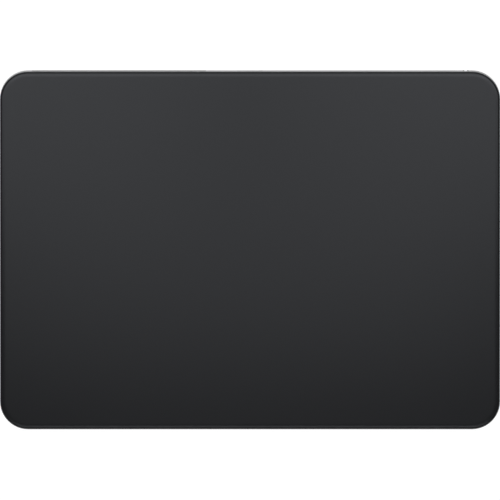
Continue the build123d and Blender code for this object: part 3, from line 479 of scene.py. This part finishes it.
def circuit_board(finish):
    """A solder mask over traces, with gold-plated holes whose middles are painted near black as shade.
    """
    finish.set(Specular_IOR_Level=0.5, Coat_Weight=0.3, Coat_Roughness=0.2)
    board = traces(finish, (0.015, 0.05, 0.035), (0.03, 0.11, 0.07), 3.2 * MM)
    spot = finish.cells(HOLE_SPACING).outputs["Distance"]
    gold = finish.calc("LESS_THAN", spot, RING_RADIUS)
    hole = finish.calc("LESS_THAN", spot, HOLE_RADIUS)
    board = finish.mixed(gold, board, (0.75, 0.55, 0.22))
    # Painted shade: the middle of each hole is near black, standing in for the shade inside it
    finish.colour(finish.mixed(hole, board, grey(0.01)))
    finish.metal(gold)
    finish.rough(finish.noise(0.4 * MM), 0.3, 0.4)


def sensor_board(finish):
    """A solder mask over the lattice of sensing electrodes."""
    finish.set(Specular_IOR_Level=0.45)
    x, y = finish.along("X"), finish.along("Y")
    gaps = [finish.stripes(finish.calc(way, x, y), ELECTRODE_PITCH, ELECTRODE_GAP_SHARE)
            for way in ("ADD", "SUBTRACT")]
    gap = finish.calc("MAXIMUM", *gaps)
    pads = finish.uneven(finish.noise(5 * MM), (0.035, 0.11, 0.06), 0.06)
    finish.colour(finish.mixed(gap, pads, (0.012, 0.035, 0.02)))
    finish.rough(finish.noise(0.5 * MM), 0.36, 0.46)
    finish.bump(gap, -0.015 * MM, 0.5)


def flexible_circuit(finish, across):
    """Amber film over copper lines, which lie side by side across the cable."""
    finish.set(Specular_IOR_Level=0.5, Coat_Weight=0.3, Coat_Roughness=0.25)
    copper = finish.stripes(finish.along(across), CABLE_LINE_PITCH, CABLE_LINE_SHARE)
    film = finish.uneven(finish.noise(2 * MM), (0.42, 0.22, 0.05), 0.08)
    finish.colour(finish.mixed(copper, film, (0.55, 0.27, 0.07)))
    finish.rough(finish.noise(0.5 * MM), 0.32, 0.44)
    finish.bump(copper, 0.01 * MM, 0.6)


def moulded_resin(finish, colour, lowest, highest):
    """Resin with the fine grain of its mould and filler."""
    finish.set(Specular_IOR_Level=0.4)
    grain = finish.noise(0.06 * MM)
    finish.colour(finish.uneven(grain, colour, 0.15))
    finish.rough(finish.noise(0.5 * MM), lowest, highest)
    finish.bump(grain, 0.006 * MM, 0.6)


def chip_resin(finish):
    """The matt resin round a chip."""
    moulded_resin(finish, grey(0.03), 0.5, 0.62)


def black_resin(finish):
    """The black resin of the socket's tongue and of the switch."""
    moulded_resin(finish, grey(0.018), 0.4, 0.5)


def slider_resin(finish):
    """The pale slippery resin of the slider in the switch."""
    moulded_resin(finish, (0.5, 0.5, 0.48), 0.35, 0.45)


def connector_resin(finish):
    """Pale resin with a row of gold contacts set in it."""
    finish.set(Specular_IOR_Level=0.45)
    contact = finish.stripes(finish.along("X"), CONTACT_PITCH, CONTACT_SHARE)
    resin = finish.uneven(finish.noise(0.3 * MM), (0.55, 0.52, 0.45), 0.05)
    finish.colour(finish.mixed(contact, resin, (0.75, 0.56, 0.24)))
    finish.metal(contact)
    finish.rough(finish.noise(0.2 * MM), 0.34, 0.46)
    finish.bump(contact, -0.03 * MM, 0.6)


def battery_foil(finish):
    """Laminated foil, drawn tight over the cell with soft creases."""
    finish.set(Metallic=0.75)
    creases = finish.noise(3 * MM, 4.0, (0.5, 1.0, 1.0))
    weave = finish.noise(0.15 * MM, 1.0)
    finish.colour(finish.uneven(creases, (0.3, 0.31, 0.33), 0.06))
    finish.rough(weave, 0.34, 0.5)
    finish.bump(creases, 0.12 * MM, 0.4)
    finish.bump(weave, 0.004 * MM, 0.5)


# Finishes of films, gel and rubber

def adhesive(finish, colour, lowest, highest):
    """Adhesive film, with the faint marks of its backing."""
    finish.set(Specular_IOR_Level=0.4)
    marks = finish.noise(0.8 * MM, 3.0)
    finish.colour(finish.uneven(marks, colour, 0.06))
    finish.rough(marks, lowest, highest)
    finish.bump(marks, 0.01 * MM, 0.4)


def clear_film(finish):
    """Thin pale film."""
    adhesive(finish, (0.75, 0.74, 0.7), 0.3, 0.45)


def black_film(finish):
    """The black film under the glass."""
    adhesive(finish, grey(0.02), 0.35, 0.5)


def gel(finish):
    """Soft gel that light sinks into."""
    finish.set(Specular_IOR_Level=0.5, Subsurface_Weight=0.5, Subsurface_Scale=0.6 * MM)
    clouds = finish.noise(0.6 * MM)
    finish.colour(finish.uneven(clouds, (0.3, 0.3, 0.32), 0.06))
    finish.rough(clouds, 0.25, 0.38)
    finish.bump(finish.noise(0.3 * MM), 0.01 * MM, 0.4)


def soft_rubber(finish, colour, lowest, highest):
    """Rubber with a fine even grain."""
    finish.set(Specular_IOR_Level=0.4)
    grain = finish.noise(0.15 * MM)
    finish.colour(finish.uneven(grain, colour, 0.1))
    finish.rough(grain, lowest, highest)
    finish.bump(grain, 0.01 * MM, 0.5)


def black_rubber(finish):
    """The matt rubber of the socket's seal."""
    soft_rubber(finish, grey(0.02), 0.55, 0.7)


def cable_jacket(finish):
    """The smoother skin of the antenna cable."""
    soft_rubber(finish, grey(0.025), 0.4, 0.5)


# One function for each material slot, with the slot's name. flexible_circuit also takes an axis.
FINISHES = (
    anodised_body, black_glass, underside_plate, grey_plastic, knob_plastic, green_film, foot_rubber,
    plain_aluminium, steel, spring_steel, socket_steel, tinned_steel, screw_steel, core_iron,
    copper_wire, gold_contact, circuit_board, sensor_board, flexible_circuit, chip_resin, black_resin,
    slider_resin, connector_resin, battery_foil, clear_film, black_film, gel, black_rubber, cable_jacket,
)


def dress():
    """Gives each node the finish of its material slot."""
    finishes = {build.__name__: build for build in FINISHES}
    made = {}
    for part in frame["record"]["subparts"]:
        node, slot = part["node"], part["material_slot"]
        name, choice = slot, ()
        if slot == "flexible_circuit":
            span = extent(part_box(node))
            across = "Y" if span.x > span.y else "X"
            name, choice = slot + "_across_" + across.lower(), (across,)
        if name not in made:
            finish = Finish(name)
            finishes[slot](finish, *choice)
            made[name] = finish.material
        mesh = frame["nodes"][node].data
        mesh.materials.clear()
        mesh.materials.append(made[name])


# Floor, light and camera

def world():
    """White where it is seen, a plain even light on everything, and a dimmer ceiling in reflections."""
    scene_world = bpy.data.worlds.new("studio")
    scene_world.use_nodes = True
    nodes = Nodes(scene_world.node_tree)
    rise = nodes.split(nodes.add("TexCoord").outputs["Generated"], "Z")
    room = nodes.ramp(rise, [(WALL_RISE, grey(1.0)), (CEILING_RISE, grey(CEILING_TONE))])
    seen = nodes.mixed(nodes.add("LightPath").outputs["Is Camera Ray"], room, grey(1.0))
    light = nodes.mixed(nodes.background_rays(), grey(WORLD_LEVEL), seen)
    nodes.feed(nodes.tree.nodes["Background"].inputs["Color"], light)
    bpy.context.scene.world = scene_world


def floor():
    """A wide white floor that clips to white where it is seen but keeps the shadow close to the part."""
    bpy.ops.mesh.primitive_plane_add(size=FLOOR_SIDE, location=(0, 0, -FLOOR_GAP))
    plane = bpy.context.object
    plane.name = "floor"
    material = bpy.data.materials.new("floor_white")
    material.use_nodes = True
    nodes = Nodes(material.node_tree)
    plain = nodes.tree.nodes["Principled BSDF"]
    nodes.feed(plain.inputs["Base Color"], grey(FLOOR_TONE))
    nodes.feed(plain.inputs["Roughness"], 1.0)
    nodes.feed(plain.inputs["Specular IOR Level"], 0.0)
    shadowed = nodes.add("BsdfDiffuse")
    nodes.feed(shadowed.inputs["Color"], grey(FLOOR_SHARE))
    glow = nodes.add("Emission")
    nodes.feed(glow.inputs["Strength"], FLOOR_GLOW)
    bright = nodes.add("AddShader")
    nodes.feed(bright.inputs[0], shadowed.outputs[0])
    nodes.feed(bright.inputs[1], glow.outputs[0])
    pick = nodes.add("MixShader")
    nodes.feed(pick.inputs[0], nodes.background_rays())
    nodes.feed(pick.inputs[1], plain.outputs[0])
    nodes.feed(pick.inputs[2], bright.outputs[0])
    nodes.feed(nodes.tree.nodes["Material Output"].inputs["Surface"], pick.outputs[0])
    plane.data.materials.append(material)


def lamp(name, place, aim, size_x, size_y, radiance):
    """An area light of a radiance, turned to a point."""
    data = bpy.data.lights.new(name, "AREA")
    data.shape = "RECTANGLE"
    data.size = size_x
    data.size_y = size_y
    data.energy = radiance * math.pi * size_x * size_y
    light = bpy.data.objects.new(name, data)
    light.location = place
    light.rotation_euler = (Vector(aim) - Vector(place)).to_track_quat("-Z", "Y").to_euler()
    light.visible_camera = False
    bpy.context.scene.collection.objects.link(light)


def camera():
    """Straight above, so that the part fills the width of the picture."""
    data = bpy.data.cameras.new("camera")
    data.sensor_width = SENSOR
    data.lens = LENS
    data.clip_end = CAMERA_REACH
    view = bpy.data.objects.new("camera", data)
    pixel = extent(cad_box).x / (PHOTO_RIGHT_COLUMN - PHOTO_LEFT_COLUMN)
    column = PHOTO_SIDE / 2 - (PHOTO_LEFT_COLUMN + PHOTO_RIGHT_COLUMN) / 2
    row = (PHOTO_REAR_ROW + PHOTO_FRONT_ROW) / 2 - PHOTO_SIDE / 2
    middle = centre(cad_box)
    height = centre(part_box("cover_glass")).z + pixel * PHOTO_SIDE * LENS / SENSOR
    view.location = (middle.x + column * pixel, middle.y + row * pixel, height)
    bpy.context.scene.collection.objects.link(view)
    bpy.context.scene.camera = view


dress()
world()
floor()
for values in LAMPS:
    lamp(*values)
camera()

bpy.context.scene.view_settings.view_transform = "Standard"
